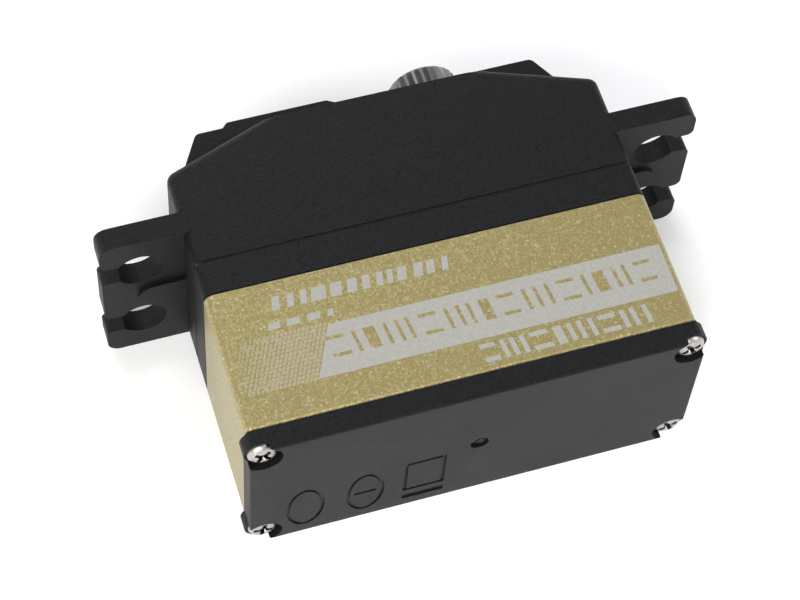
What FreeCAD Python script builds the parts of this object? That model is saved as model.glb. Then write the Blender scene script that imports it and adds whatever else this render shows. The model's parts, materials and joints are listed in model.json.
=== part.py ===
import FreeCAD, Part
import Sketcher

import math
import os

# A 35.5 x 15.5 mm digital servo motor with titanium gears and a coreless motor.
#
# Frame: the origin is the centre of the four lug holes, on the lugs' seating face. +X runs along
# the case towards the output shaft, +Y runs up the output shaft, and +Z is the normal of the broad
# side. The servo lies on its other broad side.
# Every body is drawn with Y = 0 on the bottom cover's outer face, and its Placement lowers it by
# lug_seat_height. All sizes are in millimetres.

doc = FreeCAD.newDocument("servo_motor")
sheet = doc.addObject("Spreadsheet::Sheet", "dims")

DIMENSIONS = [
    # case
    ("case_length", 35.8, "along X"),
    ("case_width", 15.5, "along Z"),
    ("corner_round", 0.8, "upright corners of every case part"),
    ("cover_height", 1.9, "bottom cover, face to joint"),
    ("centre_top_height", 14.0, "joint of the centre case and the middle frame"),
    ("frame_top_height", 16.8, "gearbox floor and parting line"),
    ("parting_gap", 0.22, "seen gap at the parting line, filled by the gasket"),
    ("cover_gap", 0.1, "gasket between the cover and the centre case"),
    ("cover_proud", 0.15, "how far the cover's ends stand past the case"),
    ("cover_edge_round", 0.15, "rounding of the cover's outer edges"),
    ("gasket_inset", 0.15, "gaskets' edge behind the outside of the case"),
    ("shoulder_height", 25.5, "where the sloping shoulder meets the end wall"),
    ("shoulder_round", 0.9, "rounding of that corner"),
    ("shoulder_half_length", 9.65, "where the shoulder reaches the top"),
    ("top_height", 28.5, "top edge of the broad side"),
    ("ridge_height", 30.4, "raised spine above the gears"),
    ("ridge_width", 9.5, "spine along Z"),
    ("ridge_half_top", 14.25, "half length of the spine's flat top"),
    ("ridge_half_base", 17.05, "half length of the spine at its foot"),
    ("ridge_round", 0.6, "rounding of the spine's two ends"),
    ("pad_height", 0.45, "flat pad on the spine, over the motor"),
    ("pad_start", -12.0, "pad's end over the motor"),
    ("pad_end", -2.4, "pad's other end"),
    ("pad_slope", 0.8, "length of that end's slope"),
    ("pad_round", 0.3, "rounding of the pad's two ends"),
    ("black_wall", 1.2, "wall of the upper case"),
    ("gold_wall", 1.0, "wall of the centre case"),
    ("edge_break", 0.15, "small chamfer on the metal case"),
    # mounting lugs
    ("lug_seat_height", 19.85, "underside of the lugs"),
    ("lug_thickness", 1.9, "lug plate"),
    ("lug_span", 49.24, "overall length over the lugs"),
    ("lug_hole_spacing", 43.0, "hole centres along X"),
    ("lug_hole_pitch", 7.5, "hole centres along Z"),
    ("lug_hole_radius", 1.9, "round end of the keyhole slot"),
    ("lug_slot_width", 2.1, "open mouth of the keyhole slot"),
    ("lug_corner", 1.1, "rounding of the lug corners"),
    ("mouth_round", 0.6, "rounding of the corners beside each mouth"),
    ("rib_width", 2.6, "low rounded rib under each lug"),
    ("rib_reach", 3.9, "how far the rib stands off the end wall"),
    ("rib_depth", 0.35, "how far the rib stands below the lug"),
    # case screws
    ("screw_inset_x", 0.95, "screw axis from the end wall"),
    ("screw_inset_z", 1.4, "screw axis from the broad side"),
    ("screw_radius", 0.6, "screw shank"),
    ("screw_play", 0.05, "radial clearance round the shank"),
    ("screw_head_radius", 1.2, "pan head"),
    ("screw_head_height", 0.85, "pan head"),
    ("screw_head_round", 0.6, "rounding of the pan head"),
    ("recess_half_length", 0.78, "arms of the cross recess"),
    ("recess_half_width", 0.18, "arms of the cross recess"),
    ("pocket_radius", 1.48, "step in each corner of the cover, round the screw"),
    ("boss_radius", 1.42, "round boss below each screw head"),
    ("boss_face", 0.7, "height of the bosses' rims above the cover's face"),
    ("well_play", 0.07, "radial clearance of a screw head in its boss"),
    ("pocket_depth", 1.1, "seat of the screw heads above the cover's face"),
    ("screw_tip_height", 23.4, "screw end in the upper case"),
    ("post_size", 3.0, "square corner post round each screw"),
    # gear train
    ("shaft_x", 5.85, "output shaft's axis"),
    ("gear_centres", 7.5, "centre distance of every gear pair"),
    ("pin_radius", 0.75, "gear pin"),
    ("running_gap", 0.03, "radial clearance of a gear on its pin"),
    ("backlash", 0.09, "tooth gap's extra width at the pitch circle"),
    ("fast_module", 0.25, "first and second pair"),
    ("middle_module", 0.3, "third pair"),
    ("slow_module", 0.375, "fourth pair"),
    # output shaft
    ("spline_radius", 2.95, "over the 25 teeth of the spline"),
    ("spline_height", 33.35, "top of the spline"),
    ("spline_foot", 30.25, "foot of the spline"),
    ("journal_radius", 3.0, "shaft in the upper bearing"),
    ("gear_seat_radius", 2.2, "shaft in the output gear"),
    ("collar_radius", 3.5, "collar between the output gear and the bearing"),
    ("stem_radius", 1.0, "lower stem of the output shaft"),
    ("horn_screw_radius", 1.25, "threaded hole for the horn screw"),
    ("horn_screw_depth", 7.0, "that hole's depth"),
    ("drive_flat", 0.35, "how deep the sensor's drive flat is cut into the stem"),
    # bearings and seal, all on the output shaft's axis
    ("upper_bearing_radius", 5.0, "outer ring's outside"),
    ("upper_bearing_foot", 25.2, "underside"),
    ("upper_bearing_width", 3.0, "along the shaft"),
    ("lower_bearing_radius", 2.5, "outer ring's outside"),
    ("lower_bearing_foot", 14.8, "underside, on the middle frame's floor"),
    ("lower_bearing_width", 2.0, "along the shaft"),
    ("seal_ring_radius", 3.48, "O-ring, to the middle of its section"),
    ("seal_section_radius", 0.44, "O-ring's section"),
    ("seal_height", 28.75, "O-ring's middle"),
    ("seal_seat_radius", 3.95, "seat of the O-ring in the upper case"),
    ("pin_top_height", 26.6, "upper end of the gear pin"),
    ("pin_foot_depth", 1.5, "how deep the pin sits in the gearbox floor"),
    # motor
    ("motor_radius", 5.8, "coreless motor's can"),
    ("motor_foot_height", 5.0, "rear face of the motor"),
    ("motor_shaft_radius", 0.5, "rotor shaft"),
    ("motor_spigot_radius", 2.5, "front boss of the motor"),
    ("motor_hub_radius", 1.5, "front bushing's outside"),
    ("motor_screw_offset", 4.0, "motor screws from the motor's axis, along Z"),
    ("motor_screw_radius", 0.7, "motor screw shank"),
    ("terminal_offset", 2.6, "terminals from the motor's axis, along Z"),
    ("bush_play", 0.02, "radial clearance of the rotor shaft"),
    # electronics
    ("board_height", 3.3, "underside of the circuit board"),
    ("board_thickness", 0.8, "circuit board"),
    ("sensor_pin_offset", 2.8, "sensor's pins from the shaft's axis, along X"),
    ("sensor_pin_pitch", 2.54, "sensor's pins along Z"),
    ("sensor_pin_radius", 0.25, "sensor's pin"),
    ("sensor_radius", 4.6, "position sensor's housing"),
    ("sensor_foot_height", 7.8, "underside of the position sensor"),
    ("sensor_top_height", 13.5, "top of the position sensor"),
    # cable gland
    ("gland_half_width", 2.6, "rubber gland in the end wall"),
    ("gland_top_height", 5.1, "top of the gland's neck"),
    ("gland_flange", 0.5, "flange beyond the neck, all round"),
]
for row, (alias, size, note) in enumerate(DIMENSIONS, start=1):
    sheet.set(f"A{row}", alias)
    sheet.set(f"B{row}", str(size))
    sheet.set(f"C{row}", note)
    sheet.setAlias(f"B{row}", alias)
doc.recompute()

# Tooth counts, and the heights of each gear's lower and upper face.
PRESSURE_ANGLE = math.radians(25)
ADDENDUM = 0.9
DEDENDUM = 1.15
MOTOR_PINION = {"teeth": 12, "low": 17.1, "high": 18.5}
FIRST_WHEEL = {"teeth": 48, "low": 17.2, "high": 18.3}
FIRST_PINION = {"teeth": 12, "low": 18.3, "high": 19.8}
SECOND_WHEEL = {"teeth": 48, "low": 18.5, "high": 19.6}
SECOND_PINION = {"teeth": 12, "low": 19.6, "high": 21.4}
THIRD_WHEEL = {"teeth": 38, "low": 20.0, "high": 21.3}
THIRD_PINION = {"teeth": 11, "low": 21.3, "high": 24.4}
OUTPUT_WHEEL = {"teeth": 29, "low": 21.9, "high": 24.2}

PIN_X = "(dims.shaft_x - dims.gear_centres)"
MOTOR_X = "(dims.shaft_x - 2 * dims.gear_centres)"
SCREW_X = "(dims.case_length / 2 - dims.screw_inset_x)"
SCREW_Z = "(dims.case_width / 2 - dims.screw_inset_z)"
SCREW_HOLE = "dims.screw_radius + dims.screw_play"
HALF_LENGTH = "dims.case_length / 2"
HALF_WIDTH = "dims.case_width / 2"
FLOOR_BASE = "(dims.frame_top_height - 2)"

nodes = []


def number(expression):
    """The value of a spreadsheet expression, in millimetres."""
    value = sheet.evalExpression(str(expression))
    return float(getattr(value, "Value", value))


def place(piece, axis_x="0"):
    """Moves a piece from its drawing height to the row frame, with its own axis at axis_x."""
    piece.setExpression("Placement.Base.x", axis_x)
    piece.setExpression("Placement.Base.y", "-dims.lug_seat_height")


def keep(piece, name):
    """Names a finished piece and puts it on the list of nodes to write."""
    piece.Label = name
    nodes.append(piece)
    return piece


# ---------------------------------------------------------------- sketches and features


class Piece:
    """One PartDesign body with short forms of the features that the servo's pieces need.

    A front sketch lies in the XY plane. A plan sketch lies level at a height, with X along X and
    its Y along Z."""

    def __init__(self, name, axis_x="0", kept=True):
        self.body = doc.addObject("PartDesign::Body", name)
        self.body.Label = name
        place(self.body, axis_x)
        if kept:
            nodes.append(self.body)
        self.count = 0

    def origin(self, role):
        for feature in self.body.Origin.OriginFeatures:
            if feature.Role == role:
                return feature
        raise ValueError(role)

    def new(self, kind, word):
        self.count += 1
        return self.body.newObject(kind, f"{self.body.Name}_{word}_{self.count}")

    def sketch(self, role, offset):
        sketch = self.new("Sketcher::SketchObject", "sketch")
        sketch.AttachmentSupport = (self.origin(role), [""])
        sketch.MapMode = "FlatFace"
        if offset != "0":
            sketch.setExpression("AttachmentOffset.Base.z", offset)
        return sketch

    def front(self, offset="0"):
        return self.sketch("XY_Plane", offset)

    def plan(self, height="0"):
        return self.sketch("XZ_Plane", f"-({height})")

    def volume(self):
        doc.recompute()
        shape = self.body.Shape
        return 0.0 if shape.isNull() else shape.Volume

    def checked(self, feature, before, grows):
        after = self.volume()
        if (after > before + 1e-6) != grows or abs(after - before) < 1e-6:
            raise RuntimeError(f"{feature.Name} left the volume at {after:.4f} from {before:.4f}")
        return feature

    def extrude(self, kind, word, sketch, length, midplane, backwards):
        before = self.volume()
        feature = self.new(kind, word)
        feature.Profile = sketch
        feature.setExpression("Length", length)
        if midplane:
            feature.Midplane = True
        feature.Reversed = backwards
        return self.checked(feature, before, kind == "PartDesign::Pad")

    def pad_both(self, sketch, width):
        return self.extrude("PartDesign::Pad", "pad", sketch, width, True, False)

    def pocket_both(self, sketch, width):
        return self.extrude("PartDesign::Pocket", "pocket", sketch, width, True, False)

    def rise(self, sketch, height):
        """Pads a plan sketch upwards."""
        return self.extrude("PartDesign::Pad", "pad", sketch, height, False, True)

    def cut_up(self, sketch, height):
        """Pockets a plan sketch upwards."""
        return self.extrude("PartDesign::Pocket", "pocket", sketch, height, False, False)

    def turn(self, kind, word, sketch):
        before = self.volume()
        feature = self.new(kind, word)
        feature.Profile = sketch
        feature.ReferenceAxis = (sketch, ["V_Axis"])
        feature.Angle = 360.0
        return self.checked(feature, before, kind == "PartDesign::Revolution")

    def revolve(self, outline):
        """A solid of revolution about the piece's own axis. outline lists (radius, height)."""
        sketch = self.front()
        polygon(sketch, outline)
        return self.turn("PartDesign::Revolution", "revolution", sketch)

    def groove(self, outline):
        sketch = self.front()
        polygon(sketch, outline)
        return self.turn("PartDesign::Groove", "groove", sketch)

    def dress(self, kind, word, size_name, size, wanted):
        """A fillet or chamfer on the edges of the piece for which wanted(edge) is true."""
        before = self.volume()
        base = self.body.Tip
        names = [f"Edge{i}" for i, e in enumerate(base.Shape.Edges, 1) if wanted(e)]
        if not names:
            raise RuntimeError(f"{self.body.Name} has no edge to dress")
        feature = self.new(kind, word)
        feature.Base = (base, names)
        feature.setExpression(size_name, size)
        doc.recompute()
        if abs(self.volume() - before) < 1e-7:
            raise RuntimeError(f"{feature.Name} changed nothing")
        return feature

    def fillet(self, radius, wanted):
        return self.dress("PartDesign::Fillet", "fillet", "Radius", radius, wanted)

    def chamfer(self, size, wanted):
        return self.dress("PartDesign::Chamfer", "chamfer", "Size", size, wanted)

    def polar(self, feature, count):
        """Repeats a pocket round the piece's own axis."""
        before = self.volume()
        pattern = self.new("PartDesign::PolarPattern", "pattern")
        pattern.Originals = [feature]
        pattern.Axis = (self.origin("Y_Axis"), [""])
        pattern.Angle = 360.0
        pattern.Occurrences = count
        self.body.Tip = pattern
        return self.checked(pattern, before, False)


def pin_point(sketch, geometry, point, x, y):
    """Fixes a point of a sketch at two spreadsheet expressions."""
    for kind, axis, expression in (("DistanceX", -2, x), ("DistanceY", -1, y)):
        if expression == "0":
            sketch.addConstraint(Sketcher.Constraint("PointOnObject", geometry, point, axis))
            continue
        value = number(expression)
        index = sketch.addConstraint(Sketcher.Constraint(kind, -1, 1, geometry, point, value))
        name = f"{kind}_{index}"
        sketch.renameConstraint(index, name)
        sketch.setExpression(f"Constraints.{name}", expression)


def polygon(sketch, corners):
    """A closed outline of straight lines through corners given as pairs of expressions."""
    at = [FreeCAD.Vector(number(x), number(y), 0) for x, y in corners]
    first = sketch.GeometryCount
    for start, end in zip(at, at[1:] + at[:1]):
        sketch.addGeometry(Part.LineSegment(start, end), False)
    last = sketch.GeometryCount - 1
    for line in range(first, last + 1):
        following = line + 1 if line < last else first
        sketch.addConstraint(Sketcher.Constraint("Coincident", line, 2, following, 1))
    for step, (x, y) in enumerate(corners):
        pin_point(sketch, first + step, 1, x, y)


def rectangle(sketch, low_x, high_x, low_y, high_y):
    polygon(sketch, [(low_x, low_y), (high_x, low_y), (high_x, high_y), (low_x, high_y)])


def centred(sketch, half_x, half_y):
    rectangle(sketch, f"-({half_x})", half_x, f"-({half_y})", half_y)


def circle(sketch, x, y, radius):
    centre = FreeCAD.Vector(number(x), number(y), 0)
    normal = FreeCAD.Vector(0, 0, 1)
    geometry = sketch.addGeometry(Part.Circle(centre, normal, number(radius)), False)
    pin_point(sketch, geometry, 3, x, y)
    index = sketch.addConstraint(Sketcher.Constraint("Radius", geometry, number(radius)))
    sketch.renameConstraint(index, f"Radius_{index}")
    sketch.setExpression(f"Constraints.Radius_{index}", radius)


def oval(sketch, x, z, half_width, half_height):
    """An ellipse in a plan sketch, taller along Z than along X."""
    centre = FreeCAD.Vector(x, z, 0)
    tall = FreeCAD.Vector(x, z + half_height, 0)
    wide = FreeCAD.Vector(x - half_width, z, 0)
    sketch.addGeometry(Part.Ellipse(tall, wide, centre), False)


def at_corners(x, z):
    """The four places at plus and minus x and z, as pairs of expressions."""
    return [(f"{a}({x})", f"{b}({z})") for a in ("-", "") for b in ("-", "")]


def upright(edge):
    """True for a straight edge along Y."""
    ends = [vertex.Point for vertex in edge.Vertexes]
    return len(ends) == 2 and (ends[0] - ends[1]).cross(FreeCAD.Vector(0, 1, 0)).Length < 1e-6


def outer_corner(edge, half_length=HALF_LENGTH):
    """True for an upright edge at a corner of the case's outline."""
    at = edge.CenterOfMass
    half_x = number(half_length)
    half_z = number(HALF_WIDTH)
    return upright(edge) and abs(abs(at.x) - half_x) < 1e-4 and abs(abs(at.z) - half_z) < 1e-4


def level_at(edge, height):
    """True for an edge that lies level at a height above the bottom cover's face."""
    box = edge.BoundBox
    return abs(box.YMin - height) < 1e-4 and abs(box.YMax - height) < 1e-4


def outline_at(edge, height, half_length=HALF_LENGTH):
    """True for an edge of the case's outer outline at a height."""
    box = edge.BoundBox
    half_x = number(half_length)
    half_z = number(HALF_WIDTH)
    reach_x = max(abs(box.XMin), abs(box.XMax))
    reach_z = max(abs(box.ZMin), abs(box.ZMax))
    return level_at(edge, height) and (
        abs(reach_x - half_x) < 1e-4 or abs(reach_z - half_z) < 1e-4
    )


# ---------------------------------------------------------------- case

MARKS_Z = -3.55  # middle of the row of moulded marks on the cover
MARK_LINE = 0.3
MARK_DEPTH = 0.14
OVAL_HALF_WIDTH = 1.55
OVAL_HALF_HEIGHT = 2.95


def make_upper_case():
    piece = Piece("upper_case")
    joint = "(dims.frame_top_height + dims.parting_gap)"

    outline = piece.front()
    polygon(
        outline,
        [
            (f"-{HALF_LENGTH}", joint),
            (HALF_LENGTH, joint),
            (HALF_LENGTH, "dims.shoulder_height"),
            ("dims.shoulder_half_length", "dims.top_height"),
            ("-dims.shoulder_half_length", "dims.top_height"),
            (f"-{HALF_LENGTH}", "dims.shoulder_height"),
        ],
    )
    piece.pad_both(outline, "dims.case_width")

    def shoulder(edge):
        at = edge.CenterOfMass
        return abs(at.y - number("dims.shoulder_height")) < 1e-4 and abs(at.z) < 1e-4

    piece.fillet("dims.shoulder_round", shoulder)
    piece.fillet("dims.corner_round", outer_corner)

    spine = piece.front()
    polygon(
        spine,
        [
            ("-dims.ridge_half_base", "dims.shoulder_height"),
            ("dims.ridge_half_base", "dims.shoulder_height"),
            ("dims.ridge_half_top", "dims.ridge_height"),
            ("-dims.ridge_half_top", "dims.ridge_height"),
        ],
    )
    piece.pad_both(spine, "dims.ridge_width")

    def across_at(x, height):
        """Picks an edge that runs across the case at x, at a height."""

        def wanted(edge):
            at = edge.CenterOfMass
            return level_at(edge, number(height)) and abs(at.x - number(x)) < 1e-4

        return wanted

    for side in ("-", ""):
        piece.fillet("dims.ridge_round", across_at(f"{side}dims.ridge_half_top", "dims.ridge_height"))

    pad = piece.front()
    polygon(
        pad,
        [
            ("dims.pad_start", "dims.ridge_height"),
            ("dims.pad_end", "dims.ridge_height"),
            ("dims.pad_end - dims.pad_slope", "dims.ridge_height + dims.pad_height"),
            ("dims.pad_start + dims.pad_height", "dims.ridge_height + dims.pad_height"),
        ],
    )
    piece.pad_both(pad, "dims.ridge_width")
    pad_top = "dims.ridge_height + dims.pad_height"
    for x in ("dims.pad_start + dims.pad_height", "dims.pad_end - dims.pad_slope"):
        piece.fillet("dims.pad_round", across_at(x, pad_top))

    boss = piece.plan("dims.ridge_height")
    circle(boss, "dims.shaft_x", "0", "dims.journal_radius + 1.2")
    piece.rise(boss, "0.4")

    lugs = piece.plan("dims.lug_seat_height")
    centred(lugs, "dims.lug_span / 2", HALF_WIDTH)
    piece.rise(lugs, "dims.lug_thickness")

    def lug_corner(edge):
        return upright(edge) and abs(abs(edge.CenterOfMass.x) - number("dims.lug_span / 2")) < 1e-4

    piece.fillet("dims.lug_corner", lug_corner)

    ribs = piece.plan("dims.lug_seat_height - dims.rib_depth")
    rib_end = f"{HALF_LENGTH} + dims.rib_reach"
    centred(ribs, rib_end, "dims.rib_width / 2")
    piece.rise(ribs, "dims.rib_depth")

    def rib_corner(edge):
        at = edge.CenterOfMass
        return upright(edge) and abs(abs(at.x) - number(rib_end)) < 1e-4 and at.y < number(
            "dims.lug_seat_height"
        )

    piece.fillet("dims.rib_width / 2 - 0.05", rib_corner)

    # keyhole slots, open to the ends of the lugs
    holes = piece.plan("dims.lug_seat_height")
    for x, z in at_corners("dims.lug_hole_spacing / 2", "dims.lug_hole_pitch / 2"):
        circle(holes, x, z, "dims.lug_hole_radius")
    piece.cut_up(holes, "dims.lug_thickness")
    mouths = piece.plan("dims.lug_seat_height")
    for side in ("-", ""):
        for row in ("-", ""):
            middle = f"{row}dims.lug_hole_pitch / 2"
            ends = [f"{side}dims.lug_hole_spacing / 2", f"{side}(dims.lug_span / 2 + 1)"]
            rectangle(
                mouths,
                *sorted(ends, key=number),
                f"{middle} - dims.lug_slot_width / 2",
                f"{middle} + dims.lug_slot_width / 2",
            )
    piece.cut_up(mouths, "dims.lug_thickness")

    def mouth_corner(edge):
        at = edge.CenterOfMass
        off = abs(abs(at.z) - number("dims.lug_hole_pitch / 2"))
        beside = abs(off - number("dims.lug_slot_width / 2")) < 1e-4
        return upright(edge) and beside and abs(abs(at.x) - number("dims.lug_span / 2")) < 1e-4

    piece.fillet("dims.mouth_round", mouth_corner)

    # gearbox hollow, following the sloping shoulders
    hollow = piece.front()
    inner_end = f"{HALF_LENGTH} - dims.black_wall"
    polygon(
        hollow,
        [
            (f"-({inner_end})", f"{joint} - 1"),
            (inner_end, f"{joint} - 1"),
            (inner_end, "dims.shoulder_height - dims.black_wall * 0.7"),
            ("dims.shoulder_half_length - 0.3", "dims.top_height - dims.black_wall"),
            ("-(dims.shoulder_half_length - 0.3)", "dims.top_height - dims.black_wall"),
            (f"-({inner_end})", "dims.shoulder_height - dims.black_wall * 0.7"),
        ],
    )
    piece.pocket_both(hollow, "dims.case_width - 2 * dims.black_wall")

    # corner posts, bearing housing and the boss that holds the gear pin's upper end
    posts = piece.plan(joint)
    for side in ("-", ""):
        for row in ("-", ""):
            across = [f"{side}({HALF_LENGTH} - dims.post_size)", f"{side}({HALF_LENGTH} - 0.6)"]
            along = [f"{row}({HALF_WIDTH} - dims.post_size)", f"{row}({HALF_WIDTH} - 0.6)"]
            rectangle(posts, *sorted(across, key=number), *sorted(along, key=number))
    piece.rise(posts, "dims.screw_tip_height + 0.8 - dims.frame_top_height")
    housing = piece.plan("dims.upper_bearing_foot")
    circle(housing, "dims.shaft_x", "0", "dims.upper_bearing_radius + 1.2")
    piece.rise(housing, "dims.top_height - dims.upper_bearing_foot - 0.4")
    boss_foot = "(dims.pin_top_height - 1.8)"
    pin_boss = piece.plan(boss_foot)
    circle(pin_boss, PIN_X, "0", "1.8")
    piece.rise(pin_boss, f"dims.top_height - {boss_foot} - 0.4")

    threads = piece.plan(joint)
    for x, z in at_corners(SCREW_X, SCREW_Z):
        circle(threads, x, z, "dims.screw_radius")
    piece.cut_up(threads, f"dims.screw_tip_height - {joint}")
    seat = piece.plan("dims.upper_bearing_foot - 0.1")
    circle(seat, "dims.shaft_x", "0", "dims.upper_bearing_radius")
    piece.cut_up(seat, "dims.upper_bearing_width + 0.1")
    seal_top = "(dims.seal_height + dims.seal_section_radius + 0.11)"
    seal_seat = piece.plan("dims.upper_bearing_foot + dims.upper_bearing_width - 0.1")
    circle(seal_seat, "dims.shaft_x", "0", "dims.seal_seat_radius")
    piece.cut_up(
        seal_seat, f"{seal_top} - dims.upper_bearing_foot - dims.upper_bearing_width + 0.1"
    )
    throat = piece.plan(f"{seal_top} - 0.2")
    circle(throat, "dims.shaft_x", "0", "dims.journal_radius + 0.2")
    piece.cut_up(throat, "3")
    pin_socket = piece.plan(f"{boss_foot} - 0.1")
    circle(pin_socket, PIN_X, "0", "dims.pin_radius")
    piece.cut_up(pin_socket, f"dims.pin_top_height - {boss_foot} + 0.1")


def make_middle_frame():
    piece = Piece("middle_frame")
    band = piece.plan("dims.centre_top_height")
    centred(band, HALF_LENGTH, HALF_WIDTH)
    piece.rise(band, "dims.frame_top_height - dims.centre_top_height")
    piece.fillet("dims.corner_round", outer_corner)

    # underside hollow, which leaves the gearbox floor standing on FLOOR_BASE
    hollow = piece.plan("dims.centre_top_height")
    centred(hollow, f"{HALF_LENGTH} - dims.post_size + 0.2", f"{HALF_WIDTH} - 1.6")
    piece.cut_up(hollow, f"{FLOOR_BASE} - dims.centre_top_height")

    # boss below the floor, which carries the lower bearing
    boss = piece.plan("dims.sensor_top_height + 0.5")
    circle(boss, "dims.shaft_x", "0", "dims.lower_bearing_radius + 1")
    piece.rise(boss, f"{FLOOR_BASE} + 0.2 - dims.sensor_top_height - 0.5")
    seat = piece.plan(FLOOR_BASE)
    circle(seat, "dims.shaft_x", "0", "dims.lower_bearing_radius")
    piece.cut_up(seat, "3")
    throat = piece.plan("dims.sensor_top_height")
    circle(throat, "dims.shaft_x", "0", "1.9")
    piece.cut_up(throat, "3")

    # spigot that drops into the centre case, between its corner posts
    spigot = piece.plan("dims.centre_top_height - 1.1")
    for side in ("-", ""):
        along = [f"{side}({HALF_WIDTH} - dims.gold_wall - 0.05)", f"{side}6.1"]
        length = f"({HALF_LENGTH} - dims.post_size - 0.2)"
        rectangle(spigot, f"-{length}", length, *sorted(along, key=number))
    piece.rise(spigot, "1.1 + 0.3")

    holes = piece.plan("dims.centre_top_height - 1")
    for x, z in at_corners(SCREW_X, SCREW_Z):
        circle(holes, x, z, SCREW_HOLE)
    circle(holes, MOTOR_X, "0", "dims.motor_spigot_radius + 0.05")
    piece.cut_up(holes, "5")
    motor_screws = piece.plan("dims.centre_top_height - 1")
    for side in ("-", ""):
        circle(motor_screws, MOTOR_X, f"{side}dims.motor_screw_offset", "0.85")
    piece.cut_up(motor_screws, "5")
    pin_socket = piece.plan("dims.frame_top_height - dims.pin_foot_depth")
    circle(pin_socket, PIN_X, "0", "dims.pin_radius")
    piece.cut_up(pin_socket, "3")


def make_centre_case():
    piece = Piece("centre_case")
    joint = "(dims.cover_height + dims.cover_gap)"
    shell = piece.plan(joint)
    centred(shell, HALF_LENGTH, HALF_WIDTH)
    piece.rise(shell, f"dims.centre_top_height - {joint}")
    piece.fillet("dims.corner_round", outer_corner)

    def rim(edge):
        return outline_at(edge, number(joint)) or outline_at(
            edge, number("dims.centre_top_height")
        )

    piece.chamfer("dims.edge_break", rim)

    # the hollow is a cross, so that a square post stays in each corner
    for half_x, half_z in (
        (f"{HALF_LENGTH} - dims.gold_wall", f"{HALF_WIDTH} - dims.post_size"),
        (f"{HALF_LENGTH} - dims.post_size", f"{HALF_WIDTH} - dims.gold_wall"),
    ):
        hollow = piece.plan("dims.cover_height - 1")
        centred(hollow, half_x, half_z)
        piece.cut_up(hollow, "dims.centre_top_height + 2")
    holes = piece.plan("dims.cover_height - 1")
    for x, z in at_corners(SCREW_X, SCREW_Z):
        circle(holes, x, z, SCREW_HOLE)
    piece.cut_up(holes, "dims.centre_top_height + 2")

    notch = piece.plan("dims.cover_height - 1")
    rectangle(
        notch,
        f"{HALF_LENGTH} - dims.gold_wall - 0.5",
        f"{HALF_LENGTH} + 1",
        "-dims.gland_half_width",
        "dims.gland_half_width",
    )
    piece.cut_up(notch, "dims.gland_top_height - dims.cover_height + 1")


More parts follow.
